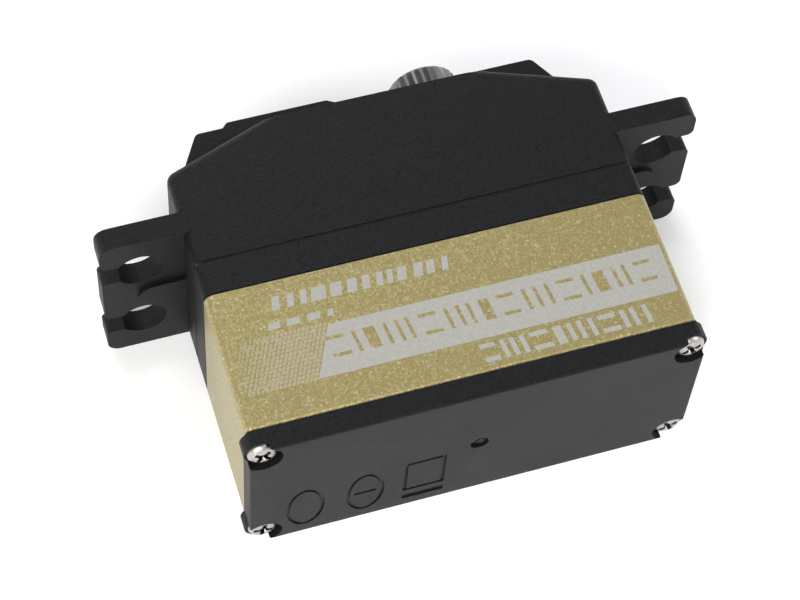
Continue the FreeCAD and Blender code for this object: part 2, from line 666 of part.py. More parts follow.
def make_bottom_cover():
    piece = Piece("bottom_cover")
    half_length = f"{HALF_LENGTH} + dims.cover_proud"
    plate = piece.plan("0")
    centred(plate, half_length, HALF_WIDTH)
    piece.rise(plate, "dims.cover_height")
    piece.fillet("dims.corner_round", lambda edge: outer_corner(edge, half_length))
    piece.fillet("dims.cover_edge_round", lambda edge: outline_at(edge, 0.0, half_length))

    # lip that fits inside the centre case, and two rests for the circuit board
    lip = piece.plan("dims.cover_height - 0.2")
    centred(lip, f"{HALF_LENGTH} - dims.gold_wall - 0.6", f"{HALF_WIDTH} - dims.post_size - 0.1")
    piece.rise(lip, "0.9")
    wide_lip = piece.plan("dims.cover_height - 0.2")
    centred(wide_lip, f"{HALF_LENGTH} - dims.post_size - 0.1", f"{HALF_WIDTH} - dims.gold_wall - 0.6")
    piece.rise(wide_lip, "0.9")
    tray = piece.plan("dims.cover_height")
    centred(tray, f"{HALF_LENGTH} - dims.post_size - 1", f"{HALF_WIDTH} - dims.gold_wall - 1.5")
    piece.cut_up(tray, "2")
    rests = piece.plan("dims.cover_height - 0.2")
    for x in ("-13.0", "0", "13.0"):
        rectangle(rests, f"{x} - 0.6", f"{x} + 0.6", "-5.4", "5.4")
    piece.rise(rests, "dims.board_height - dims.cover_height + 0.2")

    # round bosses for the screw heads, proud of the cover's ends but not of its sides
    bosses = piece.plan("dims.boss_face")
    for x, z in at_corners(SCREW_X, SCREW_Z):
        circle(bosses, x, z, "dims.boss_radius")
    piece.rise(bosses, "dims.cover_height - dims.boss_face")
    sides = piece.plan("-1")
    for low, high in ((HALF_WIDTH, f"{HALF_WIDTH} + 2"), (f"-{HALF_WIDTH} - 2", f"-{HALF_WIDTH}")):
        rectangle(sides, "-20", "20", low, high)
    piece.cut_up(sides, "dims.cover_height + 2")

    # a step in each corner, and the well of the screw head in each boss
    pockets = piece.plan("-1")
    for x, z in at_corners(SCREW_X, SCREW_Z):
        circle(pockets, x, z, "dims.pocket_radius")
    piece.cut_up(pockets, "dims.boss_face + 1")
    wells = piece.plan("-1")
    for x, z in at_corners(SCREW_X, SCREW_Z):
        circle(wells, x, z, "dims.screw_head_radius + dims.well_play")
    piece.cut_up(wells, "dims.pocket_depth + 1")
    holes = piece.plan("-1")
    for x, z in at_corners(SCREW_X, SCREW_Z):
        circle(holes, x, z, SCREW_HOLE)
    piece.cut_up(holes, "5")

    # moulding gate mark: a round dimple with a small nib left in it
    dimple = piece.plan("-1")
    circle(dimple, "0.3", "0", "0.75")
    piece.cut_up(dimple, "1.3")
    nib = piece.plan("0.1")
    circle(nib, "0.42", "0.12", "0.3")
    piece.rise(nib, "0.3")

    # plain moulded marks: an oval, an oval with a bar, and a tall frame over a bar
    marks = piece.plan("-1")
    for x in (-13.65, -8.8):
        oval(marks, x, MARKS_Z, OVAL_HALF_WIDTH, OVAL_HALF_HEIGHT)
        oval(marks, x, MARKS_Z, OVAL_HALF_WIDTH - MARK_LINE, OVAL_HALF_HEIGHT - MARK_LINE)
    piece.cut_up(marks, f"1 + {MARK_DEPTH}")
    bars = piece.plan("-1")
    rectangle(bars, "-9.7", "-7.9", f"{MARKS_Z} - 0.15", f"{MARKS_Z} + 0.15")
    rectangle(bars, "-5.7", "-2.3", f"{MARKS_Z} - 3.0", f"{MARKS_Z} - 2.3")
    piece.cut_up(bars, f"1 + {MARK_DEPTH}")
    frame = piece.plan("-1")
    for inset in (0, MARK_LINE):
        rectangle(frame, f"-5.7 + {inset}", f"-2.3 - {inset}",
                  f"{MARKS_Z} - 1.6 + {inset}", f"{MARKS_Z} + 3.0 - {inset}")
    piece.cut_up(frame, f"1 + {MARK_DEPTH}")


def make_gasket(name, height, thickness):
    """A sheet gasket that seals a joint of the case, set in a little from the outside."""
    piece = Piece(name)
    sheet_outline = piece.plan(height)
    centred(sheet_outline, f"{HALF_LENGTH} - dims.gasket_inset", f"{HALF_WIDTH} - dims.gasket_inset")
    piece.rise(sheet_outline, thickness)
    for half_x, half_z in (
        (f"{HALF_LENGTH} - dims.black_wall", f"{HALF_WIDTH} - dims.post_size"),
        (f"{HALF_LENGTH} - dims.post_size", f"{HALF_WIDTH} - dims.black_wall"),
    ):
        opening = piece.plan(f"{height} - 1")
        centred(opening, half_x, half_z)
        piece.cut_up(opening, "3")
    holes = piece.plan(f"{height} - 1")
    for x, z in at_corners(SCREW_X, SCREW_Z):
        circle(holes, x, z, SCREW_HOLE)
    piece.cut_up(holes, "3")


def make_gland():
    """Rubber cable gland in the end wall beside the output shaft, with three wire holes."""
    piece = Piece("cable_gland")
    seat = "(dims.cover_height + dims.cover_gap)"
    neck = piece.plan(seat)
    inner = f"{HALF_LENGTH} - dims.gold_wall - 0.6"
    outer = f"{HALF_LENGTH} + 1.3"
    rectangle(neck, inner, outer, "-dims.gland_half_width", "dims.gland_half_width")
    piece.rise(neck, f"dims.gland_top_height - {seat}")
    for low, high in ((f"{HALF_LENGTH} + 0.02", outer), (inner, f"{inner} + 0.55")):
        flange = piece.plan("dims.cover_height + 1.0")
        reach = "dims.gland_half_width + dims.gland_flange"
        rectangle(flange, low, high, f"-({reach})", reach)
        piece.rise(flange, "dims.gland_top_height + dims.gland_flange - dims.cover_height - 1.0")
    wires = piece.sketch("YZ_Plane", inner)
    for z in ("-1.4", "0", "1.4"):
        circle(wires, "(dims.cover_height + dims.gland_top_height) / 2", z, "0.55")
    piece.extrude("PartDesign::Pocket", "pocket", wires, "5", False, True)


# ---------------------------------------------------------------- fasteners


def make_case_screws():
    """Four long cross-recess pan-head screws, from the cover's pockets into the upper case."""
    screw = Piece("case_screw", kept=False)
    seat = "dims.pocket_depth"
    face = "(dims.pocket_depth - dims.screw_head_height)"
    tip = "dims.screw_tip_height"
    screw.revolve(
        [
            ("0", face),
            ("dims.screw_head_radius", face),
            ("dims.screw_head_radius", seat),
            ("dims.screw_radius", seat),
            ("dims.screw_radius", f"{tip} - 0.7"),
            ("dims.screw_radius - 0.4", f"{tip} - 0.1"),
            ("0", f"{tip} - 0.1"),
        ]
    )
    screw.fillet("dims.screw_head_round", lambda edge: level_at(edge, number(face)))
    arms = ("dims.recess_half_length", "dims.recess_half_width")
    for half_x, half_z in (arms, reversed(arms)):
        cross = screw.plan(f"{face} - 0.5")
        centred(cross, half_x, half_z)
        screw.cut_up(cross, "0.9")
    screw.groove([("0", f"{face} - 0.1"), ("0.45", f"{face} - 0.1"), ("0", f"{face} + 0.65")])
    screw.body.setExpression("Placement.Base.y", "0")

    copies = []
    turns = (12, 40, -25, 63)
    for turn, (x, z) in zip(turns, at_corners(SCREW_X, SCREW_Z)):
        copy = doc.addObject("Part::Compound", "case_screw_copy")
        copy.Links = [screw.body]
        copy.Placement.Rotation = FreeCAD.Rotation(FreeCAD.Vector(0, 1, 0), turn)
        copy.setExpression("Placement.Base.x", x)
        copy.setExpression("Placement.Base.z", z)
        copies.append(copy)
    group = doc.addObject("Part::Compound", "case_screws")
    group.Links = copies
    place(group)
    keep(group, "case_screws")


def make_motor_screws():
    """Two short screws that hold the motor to the middle frame."""
    copies = []
    for side in ("-", ""):
        screw = Piece("motor_screw", kept=False)
        floor = "dims.frame_top_height - 0.6"
        tip = f"{FLOOR_BASE} - 1.0"
        screw.revolve(
            [
                ("0", tip),
                ("dims.motor_screw_radius", tip),
                ("dims.motor_screw_radius", floor),
                ("0.84", floor),
                ("0.84", "dims.frame_top_height - 0.05"),
                ("0", "dims.frame_top_height - 0.05"),
            ]
        )
        screw.body.setExpression("Placement.Base.y", "0")
        screw.body.setExpression("Placement.Base.z", f"{side}dims.motor_screw_offset")
        copies.append(screw.body)
    group = doc.addObject("Part::Compound", "motor_screws")
    group.Links = copies
    place(group, MOTOR_X)
    keep(group, "motor_screws")


# ---------------------------------------------------------------- gears


def tooth_gap(sketch, teeth, module, facing):
    """Draws one tooth gap, centred on the direction facing (degrees) in a plan sketch.

    Each flank is an arc through three points of the involute, which starts at the base circle.
    Below that the flank runs straight in to the root."""
    pitch = teeth * module / 2
    base = pitch * math.cos(PRESSURE_ANGLE)
    tip = pitch + ADDENDUM * module
    root = pitch - DEDENDUM * module
    involute = math.tan(PRESSURE_ANGLE) - PRESSURE_ANGLE
    half_gap = math.pi / (2 * teeth) + number("dims.backlash") / (2 * pitch)

    def half_angle(radius):
        """Half the gap's angle at a radius, from the involute function."""
        lean = math.acos(min(1.0, base / radius))
        return half_gap + (math.tan(lean) - lean) - involute

    outside = tip + 0.3 * module
    start = max(base, root)
    middle = (start + outside) / 2

    def point(radius, side, angle):
        turn = math.radians(facing) + side * angle
        return FreeCAD.Vector(radius * math.cos(turn), radius * math.sin(turn), 0)

    flanks = {}
    for side in (-1, 1):
        spots = [point(r, side, half_angle(r)) for r in (start, middle, outside)]
        flanks[side] = (point(root, side, half_angle(start)), *spots)
        sketch.addGeometry(Part.Arc(*spots), False)
        if root < start - 1e-6:
            sketch.addGeometry(Part.LineSegment(flanks[side][0], spots[0]), False)
    sketch.addGeometry(Part.LineSegment(flanks[-1][0], flanks[1][0]), False)
    beyond = point(outside * 1.2, 0, 0)
    sketch.addGeometry(Part.LineSegment(flanks[-1][3], beyond), False)
    sketch.addGeometry(Part.LineSegment(beyond, flanks[1][3]), False)


def make_gear(name, axis_x, gear, module, bore, facing, hub=None):
    """A spur gear with its first gap facing a direction in degrees, from +X towards +Z."""
    piece = Piece(name, axis_x)
    low, high = str(gear["low"]), str(gear["high"])
    blank = piece.plan(low)
    circle(blank, "0", "0", f"{gear['teeth']} * {module} / 2 + {ADDENDUM} * {module}")
    piece.rise(blank, f"{high} - {low}")
    gap = piece.plan(f"{low} - 0.5")
    tooth_gap(gap, gear["teeth"], number(module), facing)
    pocket = piece.cut_up(gap, f"{high} - {low} + 1")
    piece.polar(pocket, gear["teeth"])
    hole = piece.plan(f"{low} - 0.5")
    circle(hole, "0", "0", bore)
    piece.cut_up(hole, f"{high} - {low} + 1")
    if hub:
        web, rim = hub
        recess = f"({high} - {low}) * 0.3"
        piece.groove([(web, f"{high} - {recess}"), (rim, f"{high} - {recess}"),
                      (rim, f"{high} + 1"), (web, f"{high} + 1")])
    return piece


TOOTH_AHEAD = 0.5  # a tooth, not a gap, faces the direction: the gap is half a tooth pitch round


def facing_right(gear):
    """The first gap's direction that puts a tooth on the +X side."""
    return TOOTH_AHEAD * 360 / gear["teeth"]


FACING_LEFT = 180  # a gap on the -X side


def make_gear_train():
    on_pin = "dims.pin_radius + dims.running_gap"
    on_stem = "dims.stem_radius + dims.running_gap"
    fast, middle, slow = "dims.fast_module", "dims.middle_module", "dims.slow_module"

    make_gear("motor_pinion", MOTOR_X, MOTOR_PINION, fast, "dims.motor_shaft_radius",
              facing_right(MOTOR_PINION))
    make_gear("first_gear_wheel", PIN_X, FIRST_WHEEL, fast, on_pin, FACING_LEFT, ("2.3", "4.9"))
    make_gear("first_gear_pinion", PIN_X, FIRST_PINION, fast, on_pin, facing_right(FIRST_PINION))
    make_gear("second_gear_wheel", "dims.shaft_x", SECOND_WHEEL, fast, on_stem, FACING_LEFT,
              ("2.6", "4.9"))
    make_gear("second_gear_pinion", "dims.shaft_x", SECOND_PINION, middle, on_stem, FACING_LEFT)
    make_gear("third_gear_wheel", PIN_X, THIRD_WHEEL, middle, on_pin, facing_right(THIRD_WHEEL),
              ("2.6", "4.7"))
    make_gear("third_gear_pinion", PIN_X, THIRD_PINION, slow, on_pin, facing_right(THIRD_PINION))
    make_gear("output_gear", "dims.shaft_x", OUTPUT_WHEEL, slow, "dims.gear_seat_radius", FACING_LEFT,
              ("3.4", "4.4"))

    pin = Piece("gear_pin", PIN_X)
    pin_foot = "dims.frame_top_height - dims.pin_foot_depth"
    pin.revolve([("0", pin_foot),
                 ("dims.pin_radius", pin_foot),
                 ("dims.pin_radius", "dims.pin_top_height - 0.2"),
                 ("dims.pin_radius - 0.2", "dims.pin_top_height"),
                 ("0", "dims.pin_top_height")])

    washers = []
    for name, axis_x, inner, outer, low, high in (
        ("pin_washer", PIN_X, on_pin, "1.7", "dims.frame_top_height + 0.02", "17.15"),
        ("stem_washer", "dims.shaft_x", on_stem, "2.4", "21.5", "21.8"),
    ):
        washer = Piece(name, axis_x, kept=False)
        washer.revolve([(inner, low), (outer, low), (outer, high), (inner, high)])
        washer.body.setExpression("Placement.Base.y", "0")
        washers.append(washer.body)
    group = doc.addObject("Part::Compound", "thrust_washers")
    group.Links = washers
    place(group)
    keep(group, "thrust_washers")


def make_output_shaft():
    """The output shaft: 25-tooth spline, bearing seat, gear seat, stem and the sensor's drive."""
    piece = Piece("output_shaft", "dims.shaft_x")
    foot = "dims.sensor_foot_height + 1.2"
    gear_low = f"{OUTPUT_WHEEL['low']} - 0.05"
    gear_high = str(OUTPUT_WHEEL["high"])
    collar_top = "dims.upper_bearing_foot - 0.05"
    piece.revolve(
        [
            ("0", foot),
            ("dims.stem_radius", foot),
            ("dims.stem_radius", gear_low),
            ("dims.gear_seat_radius", gear_low),
            ("dims.gear_seat_radius", gear_high),
            ("dims.collar_radius", gear_high),
            ("dims.collar_radius", collar_top),
            ("dims.journal_radius", collar_top),
            ("dims.journal_radius", "dims.spline_foot"),
            ("dims.spline_radius", "dims.spline_foot"),
            ("dims.spline_radius", "dims.spline_height - 0.25"),
            ("dims.spline_radius - 0.25", "dims.spline_height"),
            ("0", "dims.spline_height"),
        ]
    )
    teeth = 25
    tooth = piece.plan("dims.spline_foot + 0.1")
    half_pitch = math.pi / teeth
    polygon(
        tooth,
        [
            ("dims.spline_radius - 0.33", "0"),
            ("dims.spline_radius + 0.05", f"-(dims.spline_radius * {half_pitch:.6f} * 0.86)"),
            ("dims.spline_radius + 0.05", f"dims.spline_radius * {half_pitch:.6f} * 0.86"),
        ],
    )
    notch = piece.cut_up(tooth, "6")
    piece.polar(notch, teeth)
    thread = piece.plan("dims.spline_height - dims.horn_screw_depth")
    circle(thread, "0", "0", "dims.horn_screw_radius")
    piece.cut_up(thread, "dims.horn_screw_depth + 1")
    flat = piece.plan(f"{foot} - 0.5")
    rectangle(flat, "dims.stem_radius - dims.drive_flat", "3.0", "-3.0", "3.0")
    piece.cut_up(flat, "3.6")


# ---------------------------------------------------------------- bearings and seals

BALL_PLAY = 0.02  # between a ball and its grooves


def make_bearing(place_name, inner, count):
    """A ball bearing on the output shaft: two grooved rings and a ring of balls."""
    outer = f"dims.{place_name}_bearing_radius"
    low = f"dims.{place_name}_bearing_foot"
    high = f"({low} + dims.{place_name}_bearing_width)"
    centre = f"({low} + dims.{place_name}_bearing_width / 2)"
    middle = f"(({inner} + {outer}) / 2)"
    ball = f"(({outer} - {inner}) * 0.22)"
    land = f"(({outer} - {inner}) * 0.17)"
    for ring, near, far in (
        ("outer_ring", f"{middle} + {land}", outer),
        ("inner_ring", inner, f"{middle} - {land}"),
    ):
        piece = Piece(f"{place_name}_bearing_{ring}", "dims.shaft_x")
        piece.revolve([(near, low), (far, low), (far, high), (near, high)])
        race = piece.front()
        circle(race, middle, centre, f"{ball} + {BALL_PLAY}")
        piece.turn("PartDesign::Groove", "groove", race)
    balls = []
    for step in range(count):
        angle = 360 * step / count
        sphere = doc.addObject("Part::Sphere", f"{place_name}_ball")
        sphere.setExpression("Radius", ball)
        sphere.setExpression("Placement.Base.x", f"{middle} * cos({angle})")
        sphere.setExpression("Placement.Base.y", centre)
        sphere.setExpression("Placement.Base.z", f"{middle} * sin({angle})")
        balls.append(sphere)
    group = doc.addObject("Part::Compound", f"{place_name}_bearing_balls")
    group.Links = balls
    place(group, "dims.shaft_x")
    keep(group, f"{place_name}_bearing_balls")


def make_shaft_seal():
    """Oil seal round the output shaft, above the upper bearing: an O-ring in its seat."""
    ring = doc.addObject("Part::Torus", "shaft_seal")
    ring.setExpression("Radius1", "dims.seal_ring_radius")
    ring.setExpression("Radius2", "dims.seal_section_radius")
    ring.Placement.Rotation = FreeCAD.Rotation(FreeCAD.Vector(1, 0, 0), -90)
    ring.setExpression("Placement.Base.x", "dims.shaft_x")
    ring.setExpression("Placement.Base.y", "dims.seal_height - dims.lug_seat_height")
    keep(ring, "shaft_seal")


# ---------------------------------------------------------------- motor


def make_motor():
    foot = "dims.motor_foot_height"
    face = FLOOR_BASE
    wall = "(dims.motor_radius - 0.5)"
    hub = "dims.motor_hub_radius"
    bore = "dims.motor_shaft_radius + dims.bush_play"

    can = Piece("motor_can", MOTOR_X)
    can.revolve(
        [
            (wall, foot),
            ("dims.motor_radius", foot),
            ("dims.motor_radius", f"{face} - 0.4"),
            ("dims.motor_radius - 0.4", face),
            ("dims.motor_spigot_radius", face),
            ("dims.motor_spigot_radius", f"{face} + 1.2"),
            (hub, f"{face} + 1.2"),
            (hub, f"{face} - 0.8"),
            (wall, f"{face} - 0.8"),
        ]
    )
    screws = can.plan(f"{face} - 2")
    for side in ("-", ""):
        circle(screws, "0", f"{side}dims.motor_screw_offset", "dims.motor_screw_radius")
    can.cut_up(screws, "4")

    front = Piece("motor_front_bushing", MOTOR_X)
    front.revolve([(bore, f"{face} - 0.8"), (hub, f"{face} - 0.8"),
                   (hub, f"{face} + 1.1"), (bore, f"{face} + 1.1")])

    cap = Piece("motor_end_cap", MOTOR_X)
    cap.revolve(
        [
            (bore, f"{foot} - 0.1"),
            ("dims.motor_radius - 0.3", f"{foot} - 0.1"),
            ("dims.motor_radius - 0.3", foot),
            (wall, foot),
            (wall, f"{foot} + 0.9"),
            ("3.4", f"{foot} + 0.9"),
            ("3.4", f"{foot} + 0.5"),
            (bore, f"{foot} + 0.5"),
        ]
    )
    slots = cap.plan(f"{foot} - 1")
    for side in ("-", ""):
        centre = f"{side}dims.terminal_offset"
        rectangle(slots, "-0.4", "0.4", f"{centre} - 0.2", f"{centre} + 0.2")
    cap.cut_up(slots, "3")

    magnet = Piece("motor_magnet", MOTOR_X)
    magnet.revolve([("0.8", f"{foot} + 2.4"), ("3.6", f"{foot} + 2.4"), ("3.6", f"{face} - 1.6"),
                    (hub, f"{face} - 1.6"), (hub, f"{face} - 0.8"), ("0.8", f"{face} - 0.8")])

    shaft = Piece("motor_shaft", MOTOR_X)
    shaft.revolve([("0", f"{foot} - 0.1"), ("dims.motor_shaft_radius", f"{foot} - 0.1"),
                   ("dims.motor_shaft_radius", "18.6"), ("0", "18.6")])

    winding = Piece("motor_winding", MOTOR_X)
    winding.revolve(
        [
            ("1.1", f"{foot} + 1.5"),
            ("4.7", f"{foot} + 1.5"),
            ("4.7", f"{face} - 1.3"),
            ("4.0", f"{face} - 1.3"),
            ("4.0", f"{foot} + 2.1"),
            ("1.1", f"{foot} + 2.1"),
        ]
    )

    commutator = Piece("motor_commutator", MOTOR_X)
    commutator.revolve([("dims.motor_shaft_radius", f"{foot} + 0.6"), ("0.85", f"{foot} + 0.6"),
                        ("0.85", f"{foot} + 1.5"), ("1.1", f"{foot} + 1.5"),
                        ("1.1", f"{foot} + 2.1"), ("dims.motor_shaft_radius", f"{foot} + 2.1")])

    # each terminal runs from the board through the end cap and ends in a brush
    copies = []
    near, far = "(dims.terminal_offset - 0.15)", "(dims.terminal_offset + 0.15)"
    for side in ("-", ""):
        blade = Piece("motor_terminal_blade", MOTOR_X, kept=False)
        outline = blade.sketch("YZ_Plane", "-0.35")
        polygon(
            outline,
            [
                ("dims.board_height - 0.4", f"{side}{near}"),
                (f"{foot} + 1.0", f"{side}{near}"),
                (f"{foot} + 1.0", f"{side}0.9"),
                (f"{foot} + 1.2", f"{side}0.9"),
                (f"{foot} + 1.2", f"{side}{far}"),
                ("dims.board_height - 0.4", f"{side}{far}"),
            ],
        )
        blade.extrude("PartDesign::Pad", "pad", outline, "0.7", False, False)
        blade.body.setExpression("Placement.Base.y", "0")
        copies.append(blade.body)
    group = doc.addObject("Part::Compound", "motor_terminals")
    group.Links = copies
    place(group)
    keep(group, "motor_terminals")


# ---------------------------------------------------------------- electronics


SENSOR_PIN_ROWS = ("-dims.sensor_pin_pitch", "0", "dims.sensor_pin_pitch")


def make_sensor():
    """Rotary position sensor below the lower bearing, driven by the shaft's flat."""
    foot = "dims.sensor_foot_height"
    top = "dims.sensor_top_height"
    housing = Piece("sensor_housing", "dims.shaft_x")
    housing.revolve(
        [
            ("0", foot),
            ("dims.sensor_radius", foot),
            ("dims.sensor_radius", top),
            ("1.7", top),
            ("1.7", f"{top} - 0.6"),
            ("dims.sensor_radius - 0.5", f"{top} - 0.6"),
            ("dims.sensor_radius - 0.5", f"{foot} + 0.6"),
            ("0", f"{foot} + 0.6"),
        ]
    )

    track = Piece("sensor_track", "dims.shaft_x")
    track.revolve([("2.0", f"{foot} + 0.6"), ("3.9", f"{foot} + 0.6"), ("3.9", f"{foot} + 0.9"),
                   ("2.0", f"{foot} + 0.9")])

    wiper = Piece("sensor_wiper", "dims.shaft_x")
    disc = wiper.plan(f"{foot} + 1.6")
    circle(disc, "0", "0", "3.7")
    wiper.rise(disc, "0.9")
    hub = wiper.plan(f"{foot} + 1.6")
    circle(hub, "0", "0", "2.1")
    wiper.rise(hub, "2.2")
    contact = wiper.plan(f"{foot} + 0.95")
    rectangle(contact, "-3.4", "-2.6", "-0.4", "0.4")
    wiper.rise(contact, "0.8")
    # the bore is the stem's own section, so the flat drives the wiper
    bore = wiper.plan(f"{foot} + 0.5")
    circle(bore, "0", "0", "dims.stem_radius")
    wiper.cut_up(bore, "5")
    key = wiper.plan(f"{foot} + 1.6")
    rectangle(key, "dims.stem_radius - dims.drive_flat", "1.5", "-1.0", "1.0")
    wiper.rise(key, "2.2")

    pins = []
    for z in SENSOR_PIN_ROWS:
        pin = doc.addObject("Part::Cylinder", "sensor_pin")
        pin.setExpression("Radius", "dims.sensor_pin_radius")
        pin.setExpression("Height", f"{foot} - dims.board_height + 0.3")
        pin.Placement.Rotation = FreeCAD.Rotation(FreeCAD.Vector(1, 0, 0), -90)
        pin.setExpression("Placement.Base.x", "dims.sensor_pin_offset")
        pin.setExpression("Placement.Base.y", "dims.board_height - 0.3")
        pin.setExpression("Placement.Base.z", z)
        pins.append(pin)
    group = doc.addObject("Part::Compound", "sensor_pins")
    group.Links = pins
    place(group, "dims.shaft_x")
    keep(group, "sensor_pins")


def make_chip(name, centre_x, centre_z, half_x, half_z, thickness, low="0"):
    """A flat electronic component that stands on the circuit board."""
    piece = Piece(name)
    base = f"dims.board_height + dims.board_thickness + {low}"
    body = piece.plan(base)
    rectangle(body, f"{centre_x} - {half_x}", f"{centre_x} + {half_x}",
              f"{centre_z} - {half_z}", f"{centre_z} + {half_z}")
    piece.rise(body, thickness)
    top = number(base) + number(thickness)
    piece.chamfer("0.12", lambda edge: level_at(edge, top))
    return piece


def make_electronics():
    board = Piece("circuit_board")
    for half_x, half_z in (
        (f"{HALF_LENGTH} - dims.gold_wall - 0.9", f"{HALF_WIDTH} - dims.post_size - 0.2"),
        (f"{HALF_LENGTH} - dims.post_size - 0.2", f"{HALF_WIDTH} - dims.gold_wall - 0.4"),
    ):
        outline = board.plan("dims.board_height")
        centred(outline, half_x, half_z)
        board.rise(outline, "dims.board_thickness")
    holes = board.plan("dims.board_height - 1")
    for z in SENSOR_PIN_ROWS:
        at = "dims.shaft_x + dims.sensor_pin_offset"
        circle(holes, at, z, "dims.sensor_pin_radius + 0.05")
    for side in ("-", ""):
        centre = f"{side}dims.terminal_offset"
        rectangle(holes, f"{MOTOR_X} - 0.45", f"{MOTOR_X} + 0.45",
                  f"{centre} - 0.25", f"{centre} + 0.25")
    board.cut_up(holes, "3")

    make_chip("controller_chip", "3.6", "1.5", "2.5", "2.5", "0.9")
    make_chip("motor_driver_chip", "3.2", "-4.2", "2.2", "1.6", "0.8")
    make_chip("timing_crystal", "8.6", "4.6", "1.6", "0.9", "0.7")

    capacitor = Piece("filter_capacitor", "13.4")
    top = "dims.board_height + dims.board_thickness + 3.4"
    capacitor.revolve(
        [
            ("0", "dims.board_height + dims.board_thickness"),
            ("1.5", "dims.board_height + dims.board_thickness"),
            ("1.5", f"{top} - 2.9"),
            ("1.38", f"{top} - 2.7"),
            ("1.5", f"{top} - 2.5"),
            ("1.5", f"{top} - 0.2"),
            ("1.3", top),
            ("0", top),
        ]
    )
    capacitor.body.setExpression("Placement.Base.z", "3.0")


# ---------------------------------------------------------------- build, check and write

make_upper_case()
make_middle_frame()
make_centre_case()
make_bottom_cover()
make_gasket("gearbox_gasket", "dims.frame_top_height", "dims.parting_gap")
make_gasket("cover_gasket", "dims.cover_height", "dims.cover_gap")
make_gland()
make_case_screws()
make_motor_screws()
make_gear_train()
make_output_shaft()
make_bearing("upper", "dims.journal_radius", 11)
make_bearing("lower", "dims.stem_radius", 8)
make_shaft_seal()
make_motor()
make_sensor()
make_electronics()
doc.recompute()

for thing in doc.Objects:
    if "Invalid" in thing.State or "Error" in thing.State:
        raise RuntimeError(f"{thing.Name} failed: {thing.State}")

os.makedirs("parts", exist_ok=True)
for stale in os.listdir("parts"):
    if stale.endswith(".step"):
        os.remove(os.path.join("parts", stale))
for node in nodes:
    shape = node.Shape
    if shape.isNull() or not shape.isValid() or not shape.Solids:
        raise RuntimeError(f"{node.Label} has no valid shape")
    shape.exportStep(os.path.join("parts", node.Label + ".step"))
    print(f"{node.Label:28s} {len(shape.Solids):3d} solids {shape.Volume:10.3f} mm3")
print(f"{len(nodes)} nodes")
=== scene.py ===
import json
import math
import random

import bmesh
import bpy
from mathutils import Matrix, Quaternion, Vector


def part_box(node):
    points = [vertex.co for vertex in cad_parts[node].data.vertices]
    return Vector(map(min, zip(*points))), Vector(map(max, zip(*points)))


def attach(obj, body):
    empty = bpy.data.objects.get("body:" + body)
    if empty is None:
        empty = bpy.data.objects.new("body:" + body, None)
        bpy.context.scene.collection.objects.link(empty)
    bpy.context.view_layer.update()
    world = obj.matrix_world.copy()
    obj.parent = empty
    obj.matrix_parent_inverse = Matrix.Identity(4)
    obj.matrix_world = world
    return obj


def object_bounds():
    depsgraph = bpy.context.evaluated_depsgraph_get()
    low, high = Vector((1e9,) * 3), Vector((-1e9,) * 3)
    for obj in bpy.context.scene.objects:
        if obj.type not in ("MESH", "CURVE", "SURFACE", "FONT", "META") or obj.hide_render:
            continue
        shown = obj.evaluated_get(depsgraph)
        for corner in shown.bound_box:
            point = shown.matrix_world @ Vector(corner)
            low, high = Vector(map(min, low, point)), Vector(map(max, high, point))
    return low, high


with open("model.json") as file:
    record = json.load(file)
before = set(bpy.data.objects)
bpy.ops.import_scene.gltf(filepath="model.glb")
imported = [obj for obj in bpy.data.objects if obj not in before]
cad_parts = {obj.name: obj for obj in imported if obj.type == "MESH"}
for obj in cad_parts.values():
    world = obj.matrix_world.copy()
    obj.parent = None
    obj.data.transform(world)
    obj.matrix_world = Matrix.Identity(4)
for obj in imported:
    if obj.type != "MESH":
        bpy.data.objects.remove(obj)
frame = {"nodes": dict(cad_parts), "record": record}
CAD_BOX = [list(corner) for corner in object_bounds()]

MM = 0.001
SEAT = 19.85  # from the bottom cover's face up to the lugs' seating face, where y is 0
SLOT_OF = {part["node"]: part["material_slot"] for part in frame["record"]["subparts"]}
FACE_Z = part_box("centre_case")[1].z  # the broad side that faces up, in metres


# ---------------------------------------------------------------- node materials


